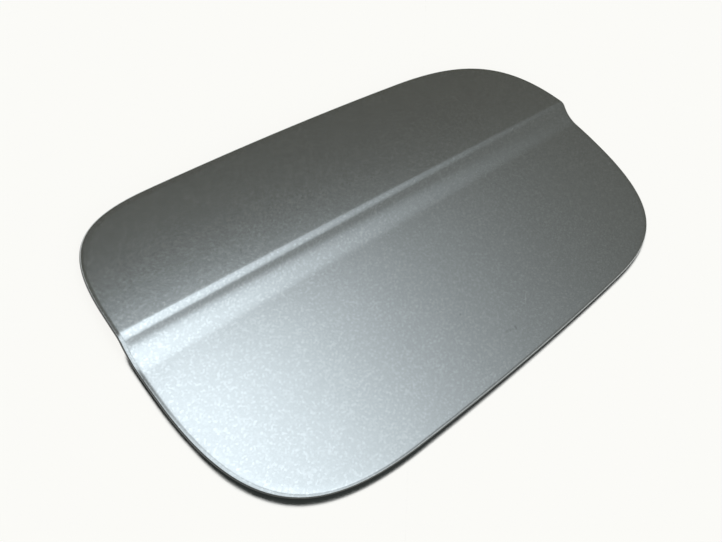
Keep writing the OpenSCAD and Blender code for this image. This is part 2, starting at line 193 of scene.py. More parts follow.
def on_corner(i, t):
    j, reach, t = (i + 1) % 4, corner_fullness * corner_runs[i], np.asarray(t)[:, None]
    p, n = on_side(i, end_angle[i])
    q, m = on_side(j, start_angle[j])
    c = [p, p + reach * np.stack([-n[:, 1], n[:, 0]], 1), q - reach * np.stack([-m[:, 1], m[:, 0]], 1), q]
    s = 1 - t
    point = s ** 3 * c[0] + 3 * s * s * t * c[1] + 3 * s * t * t * c[2] + t ** 3 * c[3]
    along = s * s * (c[1] - c[0]) + 2 * s * t * (c[2] - c[1]) + t * t * (c[3] - c[2])
    return point, np.stack([along[:, 1], -along[:, 0]], 1) / np.linalg.norm(along, axis=1)[:, None]


side_paths, bow_points, corner_points = [], 81, 61
for i in range(4):
    parts = [on_corner((i - 1) % 4, np.linspace(0.5, 1, corner_points)[:-1]),
             on_side(i, np.linspace(start_angle[i], end_angle[i], bow_points)[:-1]),
             on_corner(i, np.linspace(0, 0.5, corner_points))]
    side_paths.append([np.concatenate(part) for part in zip(*parts)])
print("outline points:", sum(len(path[0]) for path in side_paths))

# %% [markdown]
# ## Stations
# The rows of the sheet lie close together over the ridge and the valley, where the steel bends, and
# wide apart over the flat bands. The columns crowd a little towards the ends.

# %% Rows, columns and edge loops
sin_u, sin_l, sin_s = (math.sin(math.radians(a)) for a in (-upper_lean, -lower_lean, step_angle))
ridge_end = -ridge_radius * (sin_s - sin_u)
face_end = ridge_end - step_face * math.cos(math.radians(step_angle))
valley_end = face_end - valley_radius * (sin_s - sin_l)
columns, lower_rows, upper_rows = 190, 42, 30
row_crowding, column_crowding = 1.3, 0.085
valley_rows, ridge_rows, below_valley, above_ridge = 18, 12, [4, 2, 0.9], [0.5, 1.4, 3.5]
row_run = np.concatenate([
    valley_end - np.array(below_valley), np.linspace(valley_end, face_end, valley_rows),
    [(face_end + ridge_end) / 2], np.linspace(ridge_end, 0, ridge_rows), above_ridge])
step_rows = row_run + crease_offset
rows = lower_rows + len(step_rows) - 1 + upper_rows


def row_heights(low, high):
    under = (np.arange(lower_rows) / lower_rows) ** row_crowding
    over = (np.arange(upper_rows - 1, -1, -1) / upper_rows) ** row_crowding
    under, over = low + (step_rows[0] - low) * under, high - (high - step_rows[-1]) * over
    return np.concatenate([under, step_rows, over])


def column_shares():
    """Where the columns stand along a row, from 0 at one end to 1 at the other."""
    u = np.arange(columns + 1) / columns
    return u - column_crowding * np.sin(2 * math.pi * u)


def edge_loop(inset):
    """Stations [x, y, nx, ny] round the flap at that distance inside its outline, counter-clockwise."""
    tables = []
    for i, (points, normals) in enumerate(side_paths):
        table = np.hstack([points - inset * normals, normals])
        key = table[:, 1 - i % 2].copy()
        order = np.argsort(key)
        tables.append((key, key[order], table[order]))
    loop = []
    for i in (3, 0, 1, 2):
        key, keys, table = tables[i]
        ends = sorted((key[0], key[-1]))
        wanted = key[0] + (key[-1] - key[0]) * column_shares() if i % 2 else row_heights(*ends)
        if i == 2:
            wanted = wanted[::-1]
        loop.append(np.stack([np.interp(wanted, keys, table[:, c]) for c in range(4)], 1)[:-1])
    return np.concatenate(loop)


stations = 2 * (columns + rows)
print("rows", rows, "columns", columns, "stations", stations)

# %% [markdown]
# ## The flat blank
# The press starts from a flat sheet. Its grid fills the outline, with straight rows along the step
# and blended rows above and below it. Each vertex also carries what the trees read: its depth under
# the face, its turn and reach round the hem, the way outward, and for the inner panel its share of
# the floor's level and how far above that it lies.

# %% Grid of the blank
def blank_grid(rim):
    bottom, right = rim[:columns + 1, :2], rim[columns:columns + rows + 1, :2]
    top = rim[columns + rows:2 * columns + rows + 1, :2][::-1]
    left = np.vstack([rim[2 * columns + rows:, :2], rim[:1, :2]])[::-1]
    u = column_shares()[:, None]
    straight = [(1 - u) * left[j] + u * right[j] for j in range(rows + 1)]
    grid = list(straight)
    for ja, jb, low, high in ((0, lower_rows, bottom, straight[lower_rows]),
                              (rows - upper_rows, rows, straight[rows - upper_rows], top)):
        for j in range(ja, jb + 1):
            v = (left[j][1] - left[ja][1]) / (left[jb][1] - left[ja][1])
            grid[j] = ((1 - v) * low + v * high + (1 - u) * left[j] + u * right[j]
                       - (1 - u) * (1 - v) * left[ja] - u * (1 - v) * right[ja]
                       - (1 - u) * v * left[jb] - u * v * right[jb])
    return np.vstack(grid)


rim_index = np.concatenate([np.arange(columns), np.arange(rows) * (columns + 1) + columns,
                            rows * (columns + 1) + np.arange(columns, 0, -1),
                            np.arange(rows, 0, -1) * (columns + 1)])


blank_labels = ("depth", "turn", "reach", "share", "above")


def blank_mesh(name, grids, loops):
    """Flat mesh of one closed sheet, from the top grid out round the edge and back to the lower grid.
    grids holds (points, values) and loops (stations, values), with values in the order of the labels."""
    plan = np.vstack([points for points, _ in grids] + [points[:, :2] for points, _ in loops]) * MM
    outward = np.vstack([np.zeros_like(points) for points, _ in grids]
                        + [points[:, 2:] for points, _ in loops])
    data = np.vstack([np.tile(values, (len(points), 1)) for points, values in grids + loops])
    size = len(grids[0][0])
    cell = (np.arange(rows)[:, None] * (columns + 1) + np.arange(columns)).ravel()
    quad = np.stack([cell, cell + 1, cell + columns + 2, cell + columns + 1], 1)
    faces = [quad, (quad + size)[:, ::-1]]
    turns = [2 * size + k * stations + np.arange(stations) for k in range(len(loops))]
    rings = [rim_index] + turns + [rim_index + size]
    for a, b in zip(rings, rings[1:]):
        faces.append(np.stack([a, b, np.roll(b, -1), np.roll(a, -1)], 1))
    mesh = bpy.data.meshes.new(name)
    mesh.from_pydata(np.hstack([plan, np.zeros((len(plan), 1))]).tolist(), [], np.vstack(faces).tolist())
    scale = [MM, math.radians(1), MM, 1.0, MM]
    for label, values in zip(blank_labels, (data * scale).T):
        mesh.attributes.new(label, "FLOAT", "POINT").data.foreach_set("value", values.astype(np.float32))
    way = np.hstack([outward, np.zeros((len(plan), 1))]).astype(np.float32)
    mesh.attributes.new("outward", "FLOAT_VECTOR", "POINT").data.foreach_set("vector", way.ravel())
    mesh.update()
    return mesh


# %% Blank of the skin
roll_loop, flange_loop, rim_loop = (edge_loop(inset) for inset in (hem_radius, flange_inset, joggle_inset))
grid = blank_grid(rim_loop)
hem_depth, cut_round, outer_turns, inner_turns = 2 * hem_radius, 0.12, 15, 7
face_borders, back_border = (6.0, 3.0), 4.0
skin_loops = [(edge_loop(inset), (0, 0, 0, 0, 0)) for inset in face_borders]
skin_loops += [(roll_loop, (hem_radius, a, hem_radius, 0, 0)) for a in np.linspace(0, 180, outer_turns)]
skin_loops += [(edge_loop(flange_inset - cut_round), (hem_depth, 0, 0, 0, 0)),
               (flange_loop, (hem_depth - cut_round, 0, 0, 0, 0)),
               (flange_loop, (hem_depth - skin_gauge, 0, 0, 0, 0))]
skin_loops += [(roll_loop, (hem_radius, a, hem_inside, 0, 0)) for a in np.linspace(180, 0, inner_turns)]
skin_loops += [(edge_loop(back_border), (skin_gauge, 0, 0, 0, 0))]
skin_grids = [(grid, (0, 0, 0, 0, 0)), (grid, (skin_gauge, 0, 0, 0, 0))]
skin_blank = blank_mesh("skin_blank", skin_grids, skin_loops)
print("skin blank:", len(skin_blank.vertices), "vertices")

# %% Blank of the inner panel
panel_top = skin_gauge + hem_film
panel_low = panel_top + panel_gauge
trap = hem_radius + edge_clearance - hem_inside / 2
edge_round, joggle_early, joggle_late, floor_lap = 0.15, 0.2, 0.6, 1.2
steps = np.linspace(1, 0, 9)
joggle = [(edge_loop(joggle_inset - joggle_early + (joggle_run + joggle_late) * t), t * t * (3 - 2 * t))
          for t in steps]
panel_borders = (5.5, 3.0)
edge = [edge_loop(inset) for inset in (*panel_borders, trap + edge_round, trap)]
panel_loops = [(loop, (panel_top, 0, 0, share, panel_gauge)) for loop, share in joggle]
panel_loops += [(loop, (panel_top, 0, 0, 0, 0)) for loop in edge[:3]]
panel_loops += [(edge[3], (depth, 0, 0, 0, 0)) for depth in (panel_top + edge_round, panel_low - edge_round)]
panel_loops += [(loop, (panel_low, 0, 0, 0, 0)) for loop in edge[2::-1]]
panel_loops += [(loop, (panel_low, 0, 0, share, 0)) for loop, share in joggle[::-1]]
floor_grid = blank_grid(edge_loop(floor_inset + floor_lap))
panel_blank = blank_mesh("panel_blank", [(floor_grid, (panel_top, 0, 0, 1, panel_gauge)),
                                         (floor_grid, (panel_low, 0, 0, 1, 0))], panel_loops)
print("panel blank:", len(panel_blank.vertices), "vertices")

# %% [markdown]
# ## The press tree
# The section of the face is a chain of arcs: the lower band, the valley, a short straight face, the
# ridge and the upper band. Along each arc the sine of the slope changes evenly, and its cosine is the
# other leg of a right triangle whose long side is 1, which makes one small group do for all of them:
# it takes where an arc starts and ends, and gives how much the face rises and how much it turns. The
# main tree adds the runs up, crowns the length, folds the hem round its centre and hands out the coats
# of the face, the roll and the back. The roll's dark coat is partly painted shade. Geometry Nodes suit
# it, because the whole surface follows this one rule.

# %% Group for one arc of the section
arc_labels = ("Distance", "Start", "End", "Start sine", "Radius")
arc_results = {"Rise": 0.0, "Turn": 0.0}
arc_tree, arc_in = new_group("Arc of the section", dict.fromkeys(arc_labels, 0.0), arc_results)
low_end = add_node(arc_tree, MATH, {0: arc_in["Start"], 1: arc_in["End"]}, operation="MINIMUM")
high_end = add_node(arc_tree, MATH, {0: arc_in["Start"], 1: arc_in["End"]}, operation="MAXIMUM")
held = add_node(arc_tree, "ShaderNodeClamp", {"Value": arc_in["Distance"], "Min": low_end, "Max": high_end})
run = add_node(arc_tree, MATH, {0: held, 1: arc_in["Start"]}, operation="SUBTRACT")
share = add_node(arc_tree, MATH, {0: run, 1: arc_in["Radius"]}, operation="DIVIDE")
sine = add_node(arc_tree, MATH, {0: arc_in["Start sine"], 1: share}, operation="SUBTRACT")
cosines = [other_leg(arc_tree, 1.0, value) for value in (sine, arc_in["Start sine"])]
change = add_node(arc_tree, MATH, {0: cosines[0], 1: cosines[1]}, operation="SUBTRACT")
rise = add_node(arc_tree, MATH, {0: change, 1: arc_in["Radius"]}, operation="MULTIPLY")
turned = add_node(arc_tree, MATH, {0: sine, 1: arc_in["Start sine"]}, operation="SUBTRACT")
add_node(arc_tree, "NodeGroupOutput", {"Rise": rise, "Turn": turned})
print("arc group:", len(arc_tree.nodes), "nodes")

# %% Sockets of the press tree
# The roll goes dark from this turn on: partly black primer, partly painted shade where it would mirror the
# table in the flap's shadow
dark_roll_from, back_from = 50.0, 1.5
press_sizes = {"Crease offset": crease_offset * MM, "Ridge radius": ridge_radius * MM,
               "Step angle": math.radians(step_angle), "Step face": step_face * MM,
               "Valley radius": valley_radius * MM, "Upper lean": math.radians(-upper_lean),
               "Upper crown": upper_crown * MM, "Lower lean": math.radians(-lower_lean),
               "Lower crown": lower_crown * MM, "Length crown": length_crown * MM, "Lift": 0.0,
               "Dark roll from": math.radians(dark_roll_from), "Back from": back_from * MM}
coats = dict.fromkeys(("Material", "Hem material", "Back material"), "Material")
press, size = new_group("Press and hem", {"Geometry": "Geometry", **press_sizes, **coats},
                        {"Geometry": "Geometry"})
print("press tree sizes:", ", ".join(press_sizes))

# %% Where each run of the section starts
sines = {}
for label in ("Step angle", "Upper lean", "Lower lean"):
    sines[label] = add_node(press, MATH, {0: size[label]}, operation="SINE")
cos_step = add_node(press, MATH, {0: size["Step angle"]}, operation="COSINE")
tan_step = add_node(press, MATH, {0: size["Step angle"]}, operation="TANGENT")
over = add_node(press, MATH, {0: sines["Upper lean"], 1: sines["Step angle"]}, operation="SUBTRACT")
ridge_stop = add_node(press, MATH, {0: over, 1: size["Ridge radius"]}, operation="MULTIPLY")
face_run = add_node(press, MATH, {0: size["Step face"], 1: cos_step}, operation="MULTIPLY")
face_stop = add_node(press, MATH, {0: ridge_stop, 1: face_run}, operation="SUBTRACT")
dip = add_node(press, MATH, {0: sines["Lower lean"], 1: sines["Step angle"]}, operation="SUBTRACT")
valley_run = add_node(press, MATH, {0: dip, 1: size["Valley radius"]}, operation="MULTIPLY")
valley_stop = add_node(press, MATH, {0: face_stop, 1: valley_run}, operation="ADD")
valley_bend = add_node(press, MATH, {0: size["Valley radius"], 1: -1.0}, operation="MULTIPLY")

# %% The arcs, added up
place = add_node(press, "ShaderNodeSeparateXYZ", {0: add_node(press, "GeometryNodeInputPosition")})
distance = add_node(press, MATH, {0: place.outputs["Y"], 1: size["Crease offset"]}, operation="SUBTRACT")
total_rise, total_sine = 0.0, sines["Upper lean"]
for start, end, sine, radius in ((0.0, 1.0, sines["Upper lean"], size["Upper crown"]),
                                 (0.0, ridge_stop, sines["Upper lean"], size["Ridge radius"]),
                                 (face_stop, valley_stop, sines["Step angle"], valley_bend),
                                 (valley_stop, -1.0, sines["Lower lean"], size["Lower crown"])):
    arc = add_node(press, "GeometryNodeGroup", dict(zip(arc_labels, (distance, start, end, sine, radius))),
                   node_tree=arc_tree)
    total_rise = add_node(press, MATH, {0: total_rise, 1: arc.outputs["Rise"]}, operation="ADD")
    total_sine = add_node(press, MATH, {0: total_sine, 1: arc.outputs["Turn"]}, operation="ADD")
held = add_node(press, "ShaderNodeClamp", {"Value": distance, "Min": face_stop, "Max": ridge_stop})
on_face = add_node(press, MATH, {0: held, 1: ridge_stop}, operation="SUBTRACT")
face_rise = add_node(press, MATH, {0: on_face, 1: tan_step}, operation="MULTIPLY")
total_rise = add_node(press, MATH, {0: total_rise, 1: face_rise}, operation="ADD")

# %% Crown along the length, and the face's normal
along = place.outputs["X"]
reach_up = other_leg(press, size["Length crown"], along)
crown = add_node(press, MATH, {0: reach_up, 1: size["Length crown"]}, operation="SUBTRACT")
height = add_node(press, MATH, {0: total_rise, 1: crown}, operation="ADD")
height = add_node(press, MATH, {0: height, 1: size["Lift"]}, operation="ADD")
cosine = other_leg(press, 1.0, total_sine)
slope = add_node(press, MATH, {0: total_sine, 1: cosine}, operation="DIVIDE")
slope = add_node(press, MATH, {0: slope, 1: -1.0}, operation="MULTIPLY")
lean = add_node(press, MATH, {0: along, 1: reach_up}, operation="DIVIDE")
raw_normal = add_node(press, "ShaderNodeCombineXYZ", {0: lean, 1: slope, 2: 1.0})
normal = add_node(press, VECTOR_MATH, {0: raw_normal}, operation="NORMALIZE")
face_point = add_node(press, "ShaderNodeCombineXYZ", {0: along, 1: place.outputs["Y"], 2: height})

# %% Under the face, and round the hem
depth, turn, reach = (add_node(press, "GeometryNodeInputNamedAttribute", {"Name": label}, data_type="FLOAT")
                      for label in ("depth", "turn", "reach"))
outward = add_node(press, "GeometryNodeInputNamedAttribute", {"Name": "outward"}, data_type="FLOAT_VECTOR")
against = add_node(press, VECTOR_MATH, {0: outward, 1: normal}, operation="DOT_PRODUCT")
normal_xyz = add_node(press, "ShaderNodeSeparateXYZ", {0: normal})
drop = add_node(press, MATH, {0: against, 1: normal_xyz.outputs["Z"]}, operation="DIVIDE")
drop = add_node(press, MATH, {0: drop, 1: -1.0}, operation="MULTIPLY")
drop_way = add_node(press, "ShaderNodeCombineXYZ", {2: drop})
side_way = add_node(press, VECTOR_MATH, {0: outward, 1: drop_way}, operation="ADD")
side_way = add_node(press, VECTOR_MATH, {0: side_way}, operation="NORMALIZE")
turn_cos = add_node(press, MATH, {0: turn}, operation="COSINE")
turn_sin = add_node(press, MATH, {0: turn}, operation="SINE")
up_part = add_node(press, MATH, {0: reach, 1: turn_cos}, operation="MULTIPLY")
up_part = add_node(press, MATH, {0: up_part, 1: depth}, operation="SUBTRACT")
side_part = add_node(press, MATH, {0: reach, 1: turn_sin}, operation="MULTIPLY")
up_move = add_node(press, VECTOR_MATH, {0: normal, "Scale": up_part}, operation="SCALE")
side_move = add_node(press, VECTOR_MATH, {0: side_way, "Scale": side_part}, operation="SCALE")
pressed = add_node(press, VECTOR_MATH, {0: face_point, 1: up_move}, operation="ADD")
pressed = add_node(press, VECTOR_MATH, {0: pressed, 1: side_move}, operation="ADD")
moved = add_node(press, "GeometryNodeSetPosition", {"Geometry": size["Geometry"], "Position": pressed})
smooth = add_node(press, "GeometryNodeSetShadeSmooth", {"Geometry": moved, "Shade Smooth": True})
realized = add_node(press, "GeometryNodeRealizeInstances", {"Geometry": smooth})
coated = add_node(press, "GeometryNodeSetMaterial", {"Geometry": realized, "Material": size["Material"]})
# Past that turn the roll gets the dark primer, which also stands in for painted shade
past = add_node(press, MATH, {0: turn, 1: size["Dark roll from"]}, operation="GREATER_THAN")
rolled = add_node(press, "GeometryNodeSetMaterial", {
    "Geometry": coated, "Selection": past, "Material": size["Hem material"]})
behind = add_node(press, MATH, {0: depth, 1: size["Back from"]}, operation="GREATER_THAN")
finished = add_node(press, "GeometryNodeSetMaterial", {
    "Geometry": rolled, "Selection": behind, "Material": size["Back material"]})
add_node(press, "NodeGroupOutput", {"Geometry": finished})
print("press tree:", len(press.nodes), "nodes")

# %% [markdown]
# ## Baking a tree into a plain mesh
# A modifier's inputs are set by the identifier of each socket. The evaluated object then becomes a
# plain mesh, the modifier goes, and the helper attributes go with it.

# %% Bake helper
def baked(name, mesh, steps, cutter=None):
    """A plain mesh object made from the mesh by (tree, values by socket name) steps, then drilled."""
    source = placed(name + "_source", mesh)
    for tree, values in steps:
        modifier = source.modifiers.new(tree.name, "NODES")
        modifier.node_group = tree
        for item in tree.interface.items_tree:
            if item.in_out == "INPUT" and item.name in values:
                modifier[item.identifier] = values[item.name]
    if cutter:
        drill = source.modifiers.new("drill", "BOOLEAN")
        drill.object, drill.operation, drill.solver = cutter, "DIFFERENCE", "EXACT"
    evaluated = source.evaluated_get(bpy.context.evaluated_depsgraph_get())
    result = bpy.data.meshes.new_from_object(evaluated)
    result.name = name
    bpy.data.objects.remove(source)
    for label in blank_labels + ("outward",):
        if label in result.attributes:
            result.attributes.remove(result.attributes[label])
    print(name, len(result.polygons), "faces")
    return placed(name, result)

# %% [markdown]
# ## Paint
# The skin has a metallic base coat under clear lacquer, sprayed and baked. Aluminium flakes lie
# nearly flat in the base coat, so it is bright where it mirrors the light and dark elsewhere, and the
# lacquer adds a thin sharp gloss on top. Real flakes are 0.02 to 0.05 mm across. They are drawn at
# 0.55 mm here, which is one or two pixels in the photograph, so that the sparkle still shows.

# %% Metallic paint
flake_width, cloud_width, flake_tilt, flake_share, cloud_share = 0.55, 9.0, 0.009, 0.75, 0.25
paint, tree, coords = new_material("metallic_base_coat_under_lacquer")
flakes = add_node(tree, "ShaderNodeTexVoronoi", {"Vector": coords, "Scale": 1 / (flake_width * MM)})
cloud = add_node(tree, "ShaderNodeTexNoise", {
    "Vector": coords, "Scale": 1 / (cloud_width * MM), "Detail": 3.0})
flake_level = add_node(tree, "ShaderNodeSeparateColor", {0: flakes.outputs["Color"]})
# The cube leaves most flakes plain and a few of them bright
flake_level = add_node(tree, MATH, {0: flake_level, 1: 3.0}, operation="POWER")
cloud_part = add_node(tree, MATH, {0: cloud, 1: cloud_share}, operation="MULTIPLY")
tone = add_node(tree, MATH, {0: flake_level, 1: flake_share, 2: cloud_part}, operation="MULTIPLY_ADD")
colour = add_node(tree, "ShaderNodeMix", {
    "Factor": tone, "A": linear("#ACB1B2"), "B": linear("#C3C8C9")}, data_type="RGBA")

# %% Wear of the paint
# Marks seen in the photograph, as x, y, angle, half length, half width and strength. The first is the
# nick in the rim, and a strength below zero is a pale scratch that stays in the lacquer. A mark is at
# full strength within 0.4 of its half sizes, and fades out at its border.
marks = [(-100.2, 2.2, 20, 0.9, 0.45, 0.95), (1.3, -45.1, 70, 1.0, 0.5, 0.3),
         (-1.6, -44.5, -15, 2.6, 0.5, 0.12), (-12.0, -31.5, 20, 0.5, 0.35, 0.35),
         (-58.5, 19.9, 64, 1.3, 0.3, 0.3), (-50.4, 29.3, 57, 1.2, 0.3, 0.12),
         (-38.0, 27.0, 0, 0.9, 0.4, 0.12), (-35.0, 23.9, -35, 0.8, 0.35, 0.15),
         (-26.0, 20.6, 43, 0.9, 0.25, 0.12), (12.8, -39.5, 41, 2.9, 0.2, -0.35),
         (-1.2, -38.9, 45, 1.8, 0.2, -0.3), (18.0, -39.0, 39, 1.4, 0.2, -0.3),
         (24.5, -26.5, -30, 1.3, 0.25, -0.3), (-9.8, -33.8, -10, 1.0, 0.3, -0.3)]
wear = 0.0
for x, y, angle, along_it, across_it, strength in marks:
    place = add_node(tree, "ShaderNodeMapping", {
        "Vector": coords, "Location": (x * MM, y * MM, 0), "Rotation": (0, 0, math.radians(angle)),
        "Scale": (along_it * MM, across_it * MM, 1)}, vector_type="TEXTURE")
    away = add_node(tree, VECTOR_MATH, {0: place}, operation="LENGTH")
    mark = add_node(tree, "ShaderNodeMapRange", {
        "Value": away, "From Min": 1, "From Max": 0.4, "To Max": strength})
    wear = add_node(tree, MATH, {0: mark, 1: wear}, operation="ADD")
for sign, shade in ((1, "#2E3232"), (-1, "#E2E6E6")):
    share = add_node(tree, MATH, {0: wear, 1: sign}, operation="MULTIPLY", use_clamp=True)
    colour = add_node(tree, "ShaderNodeMix", {
        "Factor": share, "A": colour, "B": linear(shade)}, data_type="RGBA")
print("marks in the paint:", len(marks))

# %% Flakes and lacquer
grey = (0.5, 0.5, 0.5)
tilt = add_node(tree, VECTOR_MATH, {0: flakes.outputs["Color"], 1: grey}, operation="SUBTRACT")
tilt = add_node(tree, VECTOR_MATH, {0: tilt, "Scale": flake_tilt}, operation="SCALE")
surface = add_node(tree, "ShaderNodeNewGeometry").outputs["Normal"]
flake_normal = add_node(tree, VECTOR_MATH, {0: tilt, 1: surface}, operation="ADD")
flake_normal = add_node(tree, VECTOR_MATH, {0: flake_normal}, operation="NORMALIZE")
base_coat = add_node(tree, "ShaderNodeBsdfPrincipled", {
    "Base Color": colour, "Metallic": 0.9, "Roughness": 0.25, "Normal": flake_normal,
    "Coat Weight": 1.0, "Coat Roughness": 0.12, "Coat IOR": 1.5})
add_node(tree, "ShaderNodeOutputMaterial", {"Surface": base_coat})
print("paint:", len(tree.nodes), "nodes")

# %% [markdown]
# ## Primers, thin paint and mastic
# The spray gun points at the face, so the roll of the hem is left in the black dip primer from where
# it turns away, and the back gets only a thin coat. The roll's dark is partly painted shade, where it
# would mirror the table in the flap's shadow. None of these films is even: each drifts between two
# near tones in clouds, which one function makes for all three. A second function gives the thin coat
# its orange peel and the mastic its pores, because both are a grain of some width and height.

# %% A clouded colour and a grained surface
def clouded(tree, coords, width, detail, dark, light, thin=0.0, full=1.0):
    """A colour that drifts between two in clouds of that width in mm, from thin to full cover."""
    clouds = add_node(tree, "ShaderNodeTexNoise", {
        "Vector": coords, "Scale": 1 / (width * MM), "Detail": detail})
    cover = add_node(tree, "ShaderNodeMapRange", {"Value": clouds, "From Min": thin, "From Max": full})
    return add_node(tree, "ShaderNodeMix", {
        "Factor": cover, "A": linear(dark), "B": linear(light)}, data_type="RGBA")


def grained(tree, coords, width, detail, strength, height):
    """The normal of a surface with a grain of that width and height in mm."""
    grain = add_node(tree, "ShaderNodeTexNoise", {
        "Vector": coords, "Scale": 1 / (width * MM), "Detail": detail})
    return add_node(tree, "ShaderNodeBump", {"Height": grain, "Strength": strength, "Distance": height * MM})


# %% Black primer and painted shade of the roll, and grey primer of the plates
# Dip primer dries to a smooth film, which goes lighter only at a glancing view
# On the roll this dark coat is partly painted shade, where the roll would mirror the table in the flap's
# shadow
hem_primer_and_painted_shade, tree, coords = new_material("black_dip_primer_and_painted_shade_on_hem")
hem_primer_and_shade_surface = add_node(tree, "ShaderNodeBsdfPrincipled", {
    "Base Color": clouded(tree, coords, width=1.2, detail=2.0, dark="#171B19", light="#2B302D"),
    "Roughness": 0.35})
add_node(tree, "ShaderNodeOutputMaterial", {"Surface": hem_primer_and_shade_surface})

primer, tree, coords = new_material("dip_primer_on_steel")
primer_coat = add_node(tree, "ShaderNodeBsdfPrincipled", {
    "Base Color": clouded(tree, coords, width=6.0, detail=3.0, dark="#3E4240", light="#565B5A"),
    "Roughness": 0.38})
add_node(tree, "ShaderNodeOutputMaterial", {"Surface": primer_coat})

# %% Thin body colour on the back
# The overspray thins out in clouds some 25 mm across, and the grey primer shows through there. Nobody
# flatted this coat, so its orange peel stays, about 1.5 mm from crest to crest
inner_paint, tree, coords = new_material("thin_body_colour_over_dip_primer")
inner_coat = add_node(tree, "ShaderNodeBsdfPrincipled", {
    "Base Color": clouded(tree, coords, width=25.0, detail=4.0, dark="#5E6567", light="#7F888C",
                          thin=0.38, full=0.6),
    "Metallic": 0.65, "Roughness": 0.45,
    "Normal": grained(tree, coords, width=1.5, detail=1.0, strength=0.15, height=0.02)})
add_node(tree, "ShaderNodeOutputMaterial", {"Surface": inner_coat})

# %% Mastic
# Foamed mastic has a fine open grain, about 0.6 mm
mastic, tree, coords = new_material("cured_expanding_mastic")
mastic_surface = add_node(tree, "ShaderNodeBsdfPrincipled", {
    "Base Color": linear("#232324"), "Roughness": 0.85,
    "Normal": grained(tree, coords, width=0.6, detail=2.0, strength=0.6, height=0.1)})
add_node(tree, "ShaderNodeOutputMaterial", {"Surface": mastic_surface})
print("finishes:", [m.name for m in (paint, hem_primer_and_painted_shade, primer, inner_paint, mastic)])

# %% [markdown]
# ## The pressed skin
# The flap rests on its lowest edge. To find how far it has to be lifted for that, the same section is
# worked out once more in plain numbers, at the stations of the hem, and the lowest point is taken.

# %% Height and normal of the face
def face_height(x, y):
    r = np.asarray(y, float) - crease_offset
    x = np.asarray(x, float)
    def arc(start, end, sine, radius):
        s = sine - (np.clip(r, min(start, end), max(start, end)) - start) / radius
        return radius * (np.sqrt(1 - s * s) - math.sqrt(1 - sine * sine)), s - sine
    runs = [arc(0, 1e3, sin_u, upper_crown), arc(0, ridge_end, sin_u, ridge_radius),
            arc(face_end, valley_end, sin_s, -valley_radius), arc(valley_end, -1e3, sin_l, lower_crown)]
    on_face = np.clip(r, face_end, ridge_end) - ridge_end
    z = sum(run[0] for run in runs) + on_face * math.tan(math.radians(step_angle))
    s = sin_u + sum(run[1] for run in runs)
    long_way = np.sqrt(length_crown ** 2 - x ** 2)
    n = np.stack([x / long_way, -s / np.sqrt(1 - s * s), np.ones_like(x)], -1)
    return z + long_way - length_crown, n / np.linalg.norm(n, axis=-1)[..., None]


# %% Lift, and the pressed skin
# The roll can touch the table anywhere in the last 40 degrees of its turn
z, n = face_height(roll_loop[:, 0], roll_loop[:, 1])
b = np.stack([roll_loop[:, 2], roll_loop[:, 3], -(roll_loop[:, 2:] * n[:, :2]).sum(1) / n[:, 2]], 1)
b /= np.linalg.norm(b, axis=1)[:, None]
lowest = []
for angle in np.radians(np.linspace(140, 180, 9)):
    swing = math.cos(angle) * n[:, 2] + math.sin(angle) * b[:, 2]
    lowest.append((z - hem_radius * n[:, 2] + hem_radius * swing).min())
z, n = face_height(flange_loop[:, 0], flange_loop[:, 1])
lowest.append((z - 2 * hem_radius * n[:, 2]).min())
lift = -min(lowest)
skin = baked("outer_skin_pressed", skin_blank, [(press, {
    "Lift": lift * MM, "Material": paint, "Hem material": hem_primer_and_painted_shade, "Back material": inner_paint})])
fold_angle = math.radians(50)
skin.data.set_sharp_from_angle(angle=fold_angle)
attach(skin, "root")
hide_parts("outer_skin")
print("lift:", round(lift, 4), "mm")

# %% [markdown]
# ## The floor of the inner panel
# The inner panel is pressed from the same kind of blank. Its edge follows the face, and inside the
# joggle it runs down to a flat floor. A second tree lays that floor and raises its beads and sinks its
# pads. Each pad fades out with the distance from a rectangle, and each bead with the distance from a
# line, which is a rectangle without width, so one small group serves for all five, and the steel rolls
# softly over every edge, as in a real press.

# %% Group for a bead or a pad
relief_labels = ("Centre X", "Centre Y", "Half length", "Half width", "Foot", "Brink", "Rise")
relief, field_in = new_group("Raised or sunk field", dict.fromkeys(relief_labels, 0.0), {"Height": 0.0})
xyz = add_node(relief, "ShaderNodeSeparateXYZ", {0: add_node(relief, "GeometryNodeInputPosition")}).outputs
aside = []
for axis, centre, half in (("X", "Centre X", "Half length"), ("Y", "Centre Y", "Half width")):
    off = add_node(relief, MATH, {0: xyz[axis], 1: field_in[centre]}, operation="SUBTRACT")
    off = add_node(relief, MATH, {0: off}, operation="ABSOLUTE")
    off = add_node(relief, MATH, {0: off, 1: field_in[half]}, operation="SUBTRACT")
    aside.append(add_node(relief, MATH, {0: off, 1: 0.0}, operation="MAXIMUM"))
away = add_node(relief, "ShaderNodeCombineXYZ", {0: aside[0], 1: aside[1]})
away = add_node(relief, VECTOR_MATH, {0: away}, operation="LENGTH")
ramp = add_node(relief, "ShaderNodeMapRange", {
    "Value": away, "From Min": field_in["Foot"], "From Max": field_in["Brink"],
    "To Min": 0.0, "To Max": field_in["Rise"]}, interpolation_type="SMOOTHSTEP")
add_node(relief, "NodeGroupOutput", {"Height": ramp})
print("relief group:", len(relief.nodes), "nodes")

